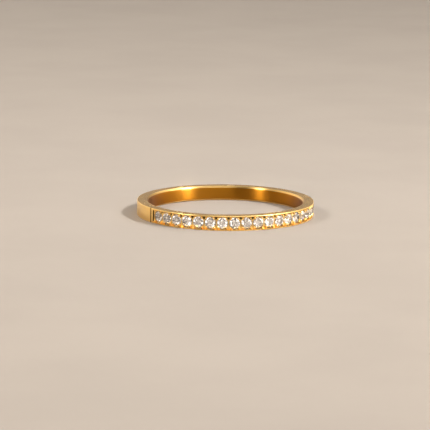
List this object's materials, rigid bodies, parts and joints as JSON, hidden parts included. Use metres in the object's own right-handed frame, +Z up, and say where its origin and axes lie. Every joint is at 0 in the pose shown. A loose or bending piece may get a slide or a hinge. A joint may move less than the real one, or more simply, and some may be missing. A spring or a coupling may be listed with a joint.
{
  "type": "gemstone ring",
  "caption": "Slim half-eternity finger ring in polished yellow gold, with one row of clear round stones channel-set under small grains between thin rails; lies on its side.",
  "frame": {"origin": "on the surface that the ring lies on, under the middle of the bore", "axes": "+Z up along the finger axis; -Y points from the bore's middle to the middle stone of the row"},
  "size_m": [0.0198, 0.0198, 0.0016],
  "materials": {
    "gold": "polished yellow gold, bright cut along the row",
    "stone": "clear cut stone, polished facets"
  },
  "bodies": {
    "root": {"band": "gold", "stone_01": "stone", "stone_02": "stone", "stone_03": "stone", "stone_04": "stone", "stone_05": "stone", "stone_06": "stone", "stone_07": "stone", "stone_08": "stone", "stone_09": "stone", "stone_10": "stone", "stone_11": "stone", "stone_12": "stone", "stone_13": "stone", "stone_14": "stone", "stone_15": "stone", "stone_16": "stone", "stone_17": "stone", "stone_18": "stone", "stone_19": "stone", "stone_20": "stone", "stone_21": "stone", "stone_22": "stone", "stone_23": "stone"}
  },
  "joints": []
}
